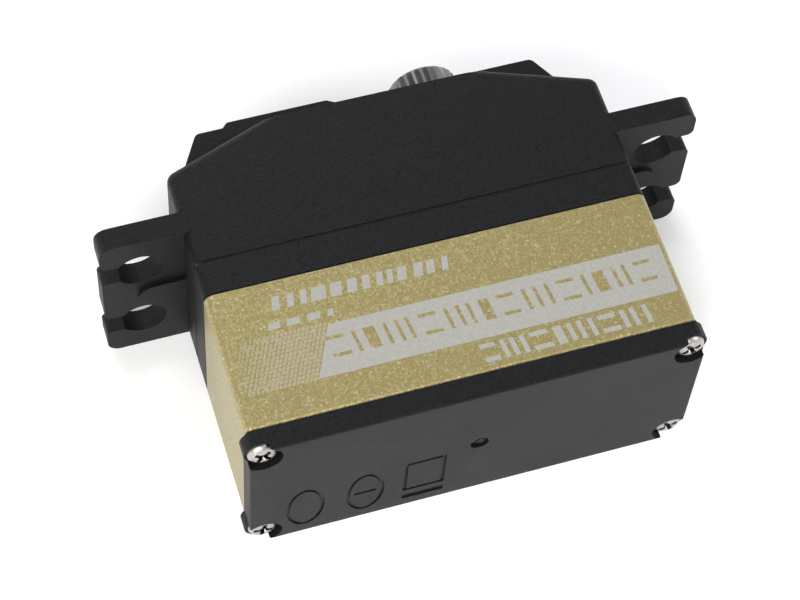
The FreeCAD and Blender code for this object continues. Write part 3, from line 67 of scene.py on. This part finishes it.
class Look:
    """A node material. Its helpers add nodes and return the output to use next."""

    def __init__(self, name):
        self.material = bpy.data.materials.new(name)
        self.material.use_nodes = True
        self.tree = self.material.node_tree
        self.shader = self.tree.nodes["Principled BSDF"]
        self.place = self.add("ShaderNodeTexCoord").outputs["Object"]

    def add(self, kind, **settings):
        node = self.tree.nodes.new(kind)
        for key, value in settings.items():
            setattr(node, key, value)
        return node

    def link(self, source, target):
        self.tree.links.new(source, target)

    def put(self, name, value):
        """Sets an input of the surface shader to a number, a colour or another node's output."""
        socket = self.shader.inputs[name]
        if isinstance(value, bpy.types.NodeSocket):
            self.link(value, socket)
        else:
            socket.default_value = value

    def noise(self, size, detail=3.0, rough=0.55, stretch=None):
        """Noise from 0 to 1 with features of a size in metres, scaled by stretch on each axis."""
        node = self.add("ShaderNodeTexNoise")
        node.inputs["Scale"].default_value = 1.0 / size
        node.inputs["Detail"].default_value = detail
        node.inputs["Roughness"].default_value = rough
        place = self.place
        if stretch:
            mapping = self.add("ShaderNodeMapping")
            mapping.inputs["Scale"].default_value = stretch
            self.link(self.place, mapping.inputs["Vector"])
            place = mapping.outputs["Vector"]
        self.link(place, node.inputs["Vector"])
        return node.outputs["Fac"]

    def cells(self, size, output="Color"):
        """A random colour for each cell of a size in metres, or the distance to its middle."""
        node = self.add("ShaderNodeTexVoronoi")
        node.inputs["Scale"].default_value = 1.0 / size
        self.link(self.place, node.inputs["Vector"])
        return node.outputs[output]

    def ramp(self, source, stops):
        """A colour ramp through (position, colour) stops."""
        node = self.add("ShaderNodeValToRGB")
        elements = node.color_ramp.elements
        while len(elements) < len(stops):
            elements.new(0.5)
        for element, (position, colour) in zip(elements, stops):
            element.position = position
            element.color = (*colour, 1.0)
        self.link(source, node.inputs["Fac"])
        return node.outputs["Color"]

    def span(self, source, low, high, start=0.0, end=1.0):
        """Maps a source from start..end to low..high."""
        node = self.add("ShaderNodeMapRange")
        for name, value in (
            ("From Min", start),
            ("From Max", end),
            ("To Min", low),
            ("To Max", high),
        ):
            node.inputs[name].default_value = value
        self.link(source, node.inputs["Value"])
        return node.outputs["Result"]

    def mix(self, factor, first, second):
        """Blends two colours by another node's output. The colours may be outputs too."""
        node = self.add("ShaderNodeMix", data_type="RGBA")
        self.link(factor, node.inputs[0])
        for index, value in ((6, first), (7, second)):  # the node's colour inputs
            if isinstance(value, bpy.types.NodeSocket):
                self.link(value, node.inputs[index])
            else:
                node.inputs[index].default_value = (*value, 1.0)
        return node.outputs[2]

    def maths(self, operation, first, second):
        """One sum on numbers or other nodes' outputs."""
        node = self.add("ShaderNodeMath", operation=operation)
        for socket, value in zip(node.inputs, (first, second)):
            if isinstance(value, bpy.types.NodeSocket):
                self.link(value, socket)
            else:
                socket.default_value = value
        return node.outputs[0]

    def bump(self, height, depth, strength):
        """Small relief in the surface, of a depth in metres."""
        node = self.add("ShaderNodeBump")
        node.inputs["Distance"].default_value = depth
        node.inputs["Strength"].default_value = strength
        self.link(height, node.inputs["Height"])
        self.put("Normal", node.outputs["Normal"])

    def flakes(self, size, tilt):
        """Tilts the normal by a random amount in each small cell, as metal flakes in paint lie."""
        centred = self.add("ShaderNodeVectorMath", operation="SUBTRACT")
        self.link(self.cells(size), centred.inputs[0])
        centred.inputs[1].default_value = (0.5, 0.5, 0.5)
        scaled = self.add("ShaderNodeVectorMath", operation="SCALE")
        self.link(centred.outputs["Vector"], scaled.inputs[0])
        scaled.inputs["Scale"].default_value = tilt
        summed = self.add("ShaderNodeVectorMath", operation="ADD")
        self.link(scaled.outputs["Vector"], summed.inputs[0])
        self.link(self.add("ShaderNodeNewGeometry").outputs["Normal"], summed.inputs[1])
        unit = self.add("ShaderNodeVectorMath", operation="NORMALIZE")
        self.link(summed.outputs["Vector"], unit.inputs[0])
        self.put("Normal", unit.outputs["Vector"])


def black_plastic(name, low, high, roughness):
    """Glass-filled nylon: a fine moulded grain with pale specks and broad, faint blotches."""
    look = Look(name)
    grain = look.noise(0.00016, 2.0, 0.6)
    blotch = look.noise(0.006, 3.0)
    base = look.ramp(grain, [(0.35, low), (0.7, high)])
    specks = look.span(look.cells(0.00022, "Distance"), 1.0, 0.0, 0.0, 0.2)
    sparse = look.maths("GREATER_THAN", look.noise(0.0009, 1.0), 0.52)
    dust = look.maths("MULTIPLY", look.maths("MULTIPLY", specks, sparse), 0.2)
    look.put("Base Color", look.mix(dust, base, (0.09, 0.09, 0.095)))
    look.put("Roughness", look.span(blotch, roughness - 0.05, roughness + 0.06))
    look.put("Specular IOR Level", 0.22)
    look.put("Specular Tint", (0.94, 0.96, 1.0, 1.0))
    look.bump(grain, 0.00007, 1.0)
    return look.material


FLAKE = 0.00015  # size of the paint flakes, in metres


def gold_paint():
    """Champagne-gold metallic finish with fine flakes below a thin clear coat, some flakes painted
    pale as glints.
    """
    look = Look("gold_finish")
    tone = look.noise(0.00018, 3.0, 0.7)
    base = look.ramp(tone, [
        (0.3, (0.285, 0.235, 0.094)),
        (0.55, (0.36, 0.30, 0.126)),
        (0.75, (0.455, 0.385, 0.175)),
    ])
    look.put("Specular Tint", (0.70, 0.73, 0.80, 1.0))
    # painted glints: the brightest few flake cells are mixed towards pale cream in the base colour
    painted_glint_cells = look.add("ShaderNodeSeparateColor")
    look.link(look.cells(FLAKE), painted_glint_cells.inputs[0])
    bright = look.span(painted_glint_cells.outputs[0], 0.0, 0.5, 0.86, 1.0)
    look.put("Base Color", look.mix(bright, base, (0.70, 0.65, 0.46)))
    look.put("Metallic", 0.6)
    look.put("Roughness", look.span(look.noise(0.0008), 0.42, 0.52))
    look.put("Coat Weight", 0.32)
    look.put("Coat Roughness", 0.3)
    look.flakes(FLAKE, 0.27)
    return look.material


def print_ink(name, light, dark):
    """Pale screen-printed ink, a little uneven over the flakes below it."""
    look = Look(name)
    tone = look.noise(0.0003, 3.0, 0.7)
    look.put("Base Color", look.ramp(tone, [(0.3, dark), (0.7, light)]))
    look.put("Roughness", look.span(look.noise(0.0009), 0.5, 0.65))
    look.put("Metallic", 0.15)
    look.bump(tone, 0.000006, 0.6)
    return look.material


def metal(name, low, high, rough_low, rough_high, grain=0.0004, stretch=None, depth=0.000004):
    """Bare metal that varies between two tones and two roughnesses."""
    look = Look(name)
    tone = look.noise(grain, 4.0, 0.65, stretch)
    look.put("Base Color", look.ramp(tone, [(0.3, low), (0.7, high)]))
    look.put("Metallic", 1.0)
    look.put("Roughness", look.span(look.noise(0.0012), rough_low, rough_high))
    look.bump(tone, depth, 0.5)
    return look.material


def screw_plate():
    """Bright nickel, with painted shade darkening the recess and where the head meets its seat."""
    look = Look("nickel_plate")
    tone = look.noise(0.0003, 4.0, 0.65)
    bright = look.ramp(tone, [(0.3, (0.33, 0.315, 0.295)), (0.7, (0.48, 0.46, 0.435))])
    # painted shade: the base colour turns near black where ambient occlusion finds the recess and
    # the seat
    hollow = look.add("ShaderNodeAmbientOcclusion", samples=8)
    hollow.inputs["Distance"].default_value = 0.0007
    painted_shade_mix = look.span(hollow.outputs["AO"], 0.0, 1.0, 0.25, 0.8)
    look.put("Base Color", look.mix(painted_shade_mix, (0.035, 0.030, 0.028), bright))
    look.put("Metallic", 1.0)
    look.put("Roughness", look.span(look.noise(0.0012), 0.30, 0.44))
    look.bump(tone, 0.000004, 0.5)
    return look.material


def plastic(name, low, high, roughness, grain=0.0003, coat=0.0):
    """Plastic or rubber that varies between two tones."""
    look = Look(name)
    tone = look.noise(grain, 3.0, 0.6)
    look.put("Base Color", look.ramp(tone, [(0.3, low), (0.7, high)]))
    look.put("Roughness", look.span(look.noise(0.002), roughness - 0.06, roughness + 0.06))
    look.put("Coat Weight", coat)
    look.bump(tone, 0.000008, 0.7)
    return look.material


def floor_look():
    """Nearly white matt board."""
    look = Look("studio_floor")
    tone = look.noise(0.05, 2.0)
    stops = [(0.3, (0.95, 0.95, 0.95)), (0.7, (0.98, 0.98, 0.98))]
    look.put("Base Color", look.ramp(tone, stops))
    look.put("Roughness", 0.75)
    look.put("Emission Color", (1.0, 1.0, 1.0, 1.0))  # lit a little from below, as a light table
    look.put("Emission Strength", 0.12)
    return look.material


ROUND_Y = (1.0, 0.12, 1.0)  # grain drawn out along the shafts
LOOKS = {
    "black_case": black_plastic(
        "black_nylon", (0.0010, 0.0011, 0.0012), (0.0080, 0.0083, 0.0088), 0.5
    ),
    "gold_case": gold_paint(),
    "gasket": plastic("gasket_rubber", (0.006, 0.006, 0.006), (0.012, 0.012, 0.012), 0.75),
    "gland": plastic("gland_rubber", (0.012, 0.012, 0.012), (0.024, 0.024, 0.024), 0.7),
    "nickel_screw": screw_plate(),
    "dark_screw": metal("blackened_steel", (0.10, 0.10, 0.105), (0.2, 0.2, 0.2), 0.35, 0.5),
    "titanium_gear": metal("titanium", (0.34, 0.32, 0.30), (0.48, 0.46, 0.43), 0.28, 0.42),
    "output_steel": metal("output_steel", (0.17, 0.17, 0.165), (0.33, 0.33, 0.325), 0.34, 0.46,
                          0.0005, ROUND_Y),
    "pin_steel": metal("ground_steel", (0.5, 0.5, 0.51), (0.66, 0.66, 0.67), 0.15, 0.25,
                       0.0005, ROUND_Y),
    "bearing_steel": metal("bearing_steel", (0.55, 0.55, 0.56), (0.7, 0.7, 0.71), 0.1, 0.2),
    "bronze": metal("sintered_bronze", (0.42, 0.27, 0.10), (0.62, 0.42, 0.18), 0.35, 0.5, 0.0002),
    "motor_steel": metal("motor_steel", (0.42, 0.42, 0.43), (0.6, 0.6, 0.61), 0.25, 0.38,
                         0.0005, ROUND_Y),
    "motor_plastic": plastic("motor_plastic", (0.02, 0.02, 0.022), (0.04, 0.04, 0.042), 0.5),
    "magnet": metal("sintered_magnet", (0.10, 0.10, 0.105), (0.18, 0.18, 0.18), 0.4, 0.55, 0.0002),
    "copper_winding": metal("enamelled_copper", (0.42, 0.14, 0.05), (0.66, 0.28, 0.12), 0.25, 0.4,
                            0.0003, (1.0, 6.0, 1.0), 0.00003),
    "contact": metal("gold_contact", (0.66, 0.46, 0.16), (0.82, 0.62, 0.28), 0.2, 0.32),
    "carbon_track": plastic("carbon_track", (0.010, 0.010, 0.010), (0.025, 0.025, 0.025), 0.45),
    "wiper_plastic": plastic("acetal", (0.60, 0.57, 0.48), (0.72, 0.69, 0.60), 0.35, coat=0.2),
    "board": plastic("solder_mask", (0.006, 0.06, 0.02), (0.012, 0.10, 0.035), 0.3, 0.001, 0.5),
    "chip": plastic("chip_epoxy", (0.010, 0.010, 0.011), (0.022, 0.022, 0.024), 0.55),
    "crystal_can": metal("crystal_can", (0.55, 0.55, 0.56), (0.72, 0.72, 0.73), 0.18, 0.3),
    "capacitor_can": metal("capacitor_can", (0.55, 0.55, 0.57), (0.7, 0.7, 0.72), 0.2, 0.34),
}
INK = print_ink("printed_grey", (0.375, 0.368, 0.335), (0.315, 0.308, 0.275))
FAINT_INK = print_ink("printed_faint_grey", (0.355, 0.322, 0.228), (0.320, 0.287, 0.190))


# ---------------------------------------------------------------- CAD pieces

SAME_POINT = 0.000001  # metres
FLAT_ANGLE = math.radians(0.4)  # faces that meet at less are one flat face
CREASE_ANGLE = math.radians(30)  # edges sharper than this stay crisp
ROUND_ANGLE = math.radians(32)  # edges sharper than this are rounded
EDGE_ROUNDS = {  # widths in millimetres, for the pieces that show
    "upper_case": 0.08,
    "middle_frame": 0.08,
    "centre_case": 0.2,
    "bottom_cover": 0.06,
    "cable_gland": 0.2,
    "case_screws": 0.08,
    "output_shaft": 0.05,
}


def dress(name, node):
    """Gives a CAD node its material, smooth shading and, if it shows, rounded edges."""
    mesh = node.data
    mesh.materials.clear()
    mesh.materials.append(LOOKS[SLOT_OF[name]])
    if "custom_normal" in mesh.attributes:
        mesh.attributes.remove(mesh.attributes["custom_normal"])
    mesh.polygons.foreach_set("use_smooth", [True] * len(mesh.polygons))
    weld = node.modifiers.new("weld", "WELD")
    weld.merge_threshold = SAME_POINT
    flat = node.modifiers.new("flat_faces", "DECIMATE")
    flat.decimate_type = "DISSOLVE"
    flat.angle_limit = FLAT_ANGLE
    if name in EDGE_ROUNDS:
        edges = node.modifiers.new("edge_rounds", "BEVEL")
        edges.width = EDGE_ROUNDS[name] * MM
        edges.segments = 3
        edges.limit_method = "ANGLE"
        edges.angle_limit = ROUND_ANGLE
        edges.use_clamp_overlap = True
        edges.harden_normals = True
    else:
        crisp = node.modifiers.new("crisp_edges", "EDGE_SPLIT")
        crisp.split_angle = CREASE_ANGLE


for node_name, cad_node in frame["nodes"].items():
    dress(node_name, cad_node)


# ---------------------------------------------------------------- printed marks


SUNK = -0.01  # millimetres from the broad side: the print's hidden lower face
HATCHING_TOP = 0.01
INK_TOP = 0.012
FIGURE_TOP = 0.018  # over the band


def prisms(name, outlines, material, top):
    """One piece of flat prisms on the broad side.

    Outlines are (x, height) in millimetres, with heights from the bottom cover's face.
    """
    mesh = bpy.data.meshes.new(name)
    work = bmesh.new()
    for outline in outlines:
        rings = []
        for z in (SUNK, top):
            rings.append([
                work.verts.new((x * MM, (h - SEAT) * MM, FACE_Z + z * MM)) for x, h in outline
            ])
        work.faces.new(list(reversed(rings[0])))
        work.faces.new(rings[1])
        count = len(outline)
        for i in range(count):
            j = (i + 1) % count
            work.faces.new((rings[0][i], rings[0][j], rings[1][j], rings[1][i]))
    bmesh.ops.recalc_face_normals(work, faces=work.faces)
    work.to_mesh(mesh)
    work.free()
    piece = bpy.data.objects.new(name, mesh)
    bpy.context.scene.collection.objects.link(piece)
    mesh.materials.append(material)
    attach(piece, "case")


BAND_LOW, BAND_HIGH = 4.75, 9.1
BAND_LEFT, BAND_RIGHT = -11.4, 17.3
# leans are in x for each millimetre of height
BAND_LEAN = 0.45  # the band's left end, and the rows of hatching
STROKE_LEAN = 0.34  # the hatching's own strokes
FIGURE_LEAN = -0.12  # the figures lean the other way
DASH_LEAN = 0.2


def leaning(x, low, high, width, lean, foot):
    """A leaning parallelogram, whose left side passes x at the height foot."""
    left_low = x + (low - foot) * lean
    left_high = x + (high - foot) * lean
    return [
        (left_low, low),
        (left_low + width, low),
        (left_high + width, high),
        (left_high, high),
    ]


band = [
    (BAND_LEFT, BAND_LOW),
    (BAND_RIGHT, BAND_LOW),
    (BAND_RIGHT, BAND_HIGH),
    (BAND_LEFT + (BAND_HIGH - BAND_LOW) * BAND_LEAN, BAND_HIGH),
]
prisms("printed_band", [band], INK, INK_TOP)


HATCH_PITCH, HATCH_DASH, HATCH_GAP = 0.34, 0.29, 0.07
HATCH_WIDTH = 0.24
HATCH_START = BAND_LEFT - 0.36
HATCH_LAST = -18.4  # no row starts beyond this x at the band's foot
HATCH_EDGE = -17.2  # nor any stroke beyond this one, which keeps them on the face
FADE_END, FADE_LENGTH = -19.6, 4.2  # the strokes thin out to nothing over this stretch


def hatch():
    """Broken leaning strokes to the left of the band, thinner towards the end."""
    strokes = []
    x = HATCH_START
    while x > HATCH_LAST:
        h = BAND_LOW - 0.05
        thick = HATCH_WIDTH * min(1.0, (x - FADE_END) / FADE_LENGTH)
        while h < BAND_HIGH:
            start = x + (h - BAND_LOW) * BAND_LEAN
            if start > HATCH_EDGE:
                strokes.append(leaning(start, h, h + HATCH_DASH, thick, STROKE_LEAN, h))
            h += HATCH_DASH + HATCH_GAP
        x -= HATCH_PITCH
    return strokes


prisms("printed_hatching", hatch(), FAINT_INK, HATCHING_TOP)


def bar(x, low, high, width, foot):
    """An upright or level stroke of a figure."""
    return leaning(x, low, high, width, FIGURE_LEAN, foot)


def figure(kind, x, low, high, width, stroke):
    """Plain geometric figures: one post, a pair of posts, two level bars or a solid block."""
    if kind == "post":
        return [bar(x, low, high, stroke, low)]
    if kind == "pair":
        return [bar(x, low, high, stroke, low), bar(x + width - stroke, low, high, stroke, low)]
    if kind == "bars":
        return [bar(x, low, low + stroke, width, low), bar(x, high - stroke, high, width, low)]
    return [bar(x, low, high, width, low)]


def row(figures, low, high, stroke):
    """A row of figures, each (kind, x, width)."""
    shapes = []
    for kind, x, width in figures:
        shapes += figure(kind, x, low, high, width, stroke)
    return shapes


GOLD_ROW = [
    ("bars", -9.75, 1.4), ("post", -7.75, 0.3), ("block", -6.85, 0.9), ("post", -5.3, 0.3),
    ("pair", -4.35, 1.1), ("bars", -2.5, 1.4), ("post", -0.45, 0.3), ("pair", 0.5, 1.1),
    ("block", 2.3, 0.8), ("bars", 3.8, 1.3), ("post", 5.8, 0.3), ("pair", 6.7, 1.2),
    ("bars", 8.6, 1.4), ("post", 10.6, 0.3), ("block", 11.5, 0.9), ("pair", 13.1, 1.1),
    ("bars", 14.9, 1.3),
]
gold_figures = row(GOLD_ROW, low=6.2, high=8.05, stroke=0.28)
prisms("printed_gold_figures", gold_figures, LOOKS["gold_case"], FIGURE_TOP)
GREY_ROW = [
    ("bars", 1.15, 1.2), ("post", 2.75, 0.4), ("pair", 3.5, 1.2), ("bars", 5.1, 1.5),
    ("block", 7.0, 0.7), ("post", 8.1, 0.4), ("pair", 8.9, 1.3), ("bars", 10.6, 1.4),
    ("post", 12.4, 0.4), ("pair", 13.2, 1.4),
]
grey_figures = row(GREY_ROW, low=2.7, high=4.3, stroke=0.4)
prisms("printed_grey_figures", grey_figures, INK, INK_TOP)


def short_dashes(start, end, low, high, seed):
    """A line of short dashes of uneven length."""
    chance = random.Random(seed)
    shapes = []
    x = start
    while x < end:
        width = chance.uniform(0.45, 1.2)
        shapes.append(leaning(x, low, high, width, DASH_LEAN, low))
        x += width + chance.uniform(0.25, 0.6)
    return shapes


dashes = short_dashes(-13.9, -9.2, low=9.75, high=10.35, seed=5)
dashes += short_dashes(-13.2, 0.4, low=11.3, high=12.5, seed=8)
prisms("printed_dashes", dashes, INK, INK_TOP)


# ---------------------------------------------------------------- floor, light and camera


FLOOR_HALF = 3.0  # metres


def make_floor():
    """A plain square floor under the broad side that the servo lies on."""
    mesh = bpy.data.meshes.new("studio_floor")
    z = CAD_BOX[0][2]
    signs = ((-1, -1), (1, -1), (1, 1), (-1, 1))
    corners = [(x * FLOOR_HALF, y * FLOOR_HALF, z) for x, y in signs]
    mesh.from_pydata(corners, [], [(0, 1, 2, 3)])
    mesh.materials.append(floor_look())
    floor = bpy.data.objects.new("studio_floor", mesh)
    bpy.context.scene.collection.objects.link(floor)


def make_area(name, place, size, power, colour):
    """A soft rectangular light at a place in metres, aimed at the origin."""
    light = bpy.data.lights.new(name, "AREA")
    light.shape = "RECTANGLE"
    light.size, light.size_y = size
    light.energy = power
    light.color = colour
    lamp = bpy.data.objects.new(name, light)
    lamp.location = place
    lamp.rotation_mode = "QUATERNION"
    lamp.rotation_quaternion = (-Vector(place)).to_track_quat("-Z", "Y")
    bpy.context.scene.collection.objects.link(lamp)


def make_world():
    """A pale studio, bright up to the horizon and dimmer overhead."""
    world = bpy.data.worlds.new("studio")
    bpy.context.scene.world = world
    world.use_nodes = True
    tree = world.node_tree
    place = tree.nodes.new("ShaderNodeTexCoord")
    split = tree.nodes.new("ShaderNodeSeparateXYZ")
    tree.links.new(place.outputs["Generated"], split.inputs[0])
    ramp = tree.nodes.new("ShaderNodeValToRGB")
    horizon, overhead = ramp.color_ramp.elements
    horizon.position = 0.0
    horizon.color = (0.95, 0.96, 1.0, 1.0)
    overhead.position = 0.75
    overhead.color = (0.22, 0.22, 0.225, 1.0)
    tree.links.new(split.outputs["Z"], ramp.inputs["Fac"])
    background = tree.nodes["Background"]
    tree.links.new(ramp.outputs["Color"], background.inputs["Color"])
    background.inputs["Strength"].default_value = 1.0


def make_camera():
    """The photograph's viewpoint: a perspective camera fitted to its outline."""
    data = bpy.data.cameras.new("camera")
    data.sensor_width = 36.0
    data.lens = 111.2574
    data.clip_start = 0.01
    data.clip_end = 20.0
    camera = bpy.data.objects.new("camera", data)
    camera.location = (-0.0389093, -0.0984852, 0.1702183)
    camera.rotation_mode = "QUATERNION"
    camera.rotation_quaternion = Quaternion((0.9553358, 0.2543372, -0.0617169, -0.1372487))
    bpy.context.scene.collection.objects.link(camera)
    bpy.context.scene.camera = camera


make_floor()
make_world()
make_area("key", (-0.17, -0.26, 0.225), (0.22, 0.22), 1.55, (1.0, 0.99, 0.97))
make_area("fill", (0.55, -0.3, 0.55), (0.6, 0.5), 3.5, (0.97, 0.98, 1.0))
make_area("back", (-0.1, 0.7, 0.5), (0.7, 0.4), 3.2, (1.0, 1.0, 1.0))
make_camera()
bpy.context.scene.view_settings.view_transform = "Standard"
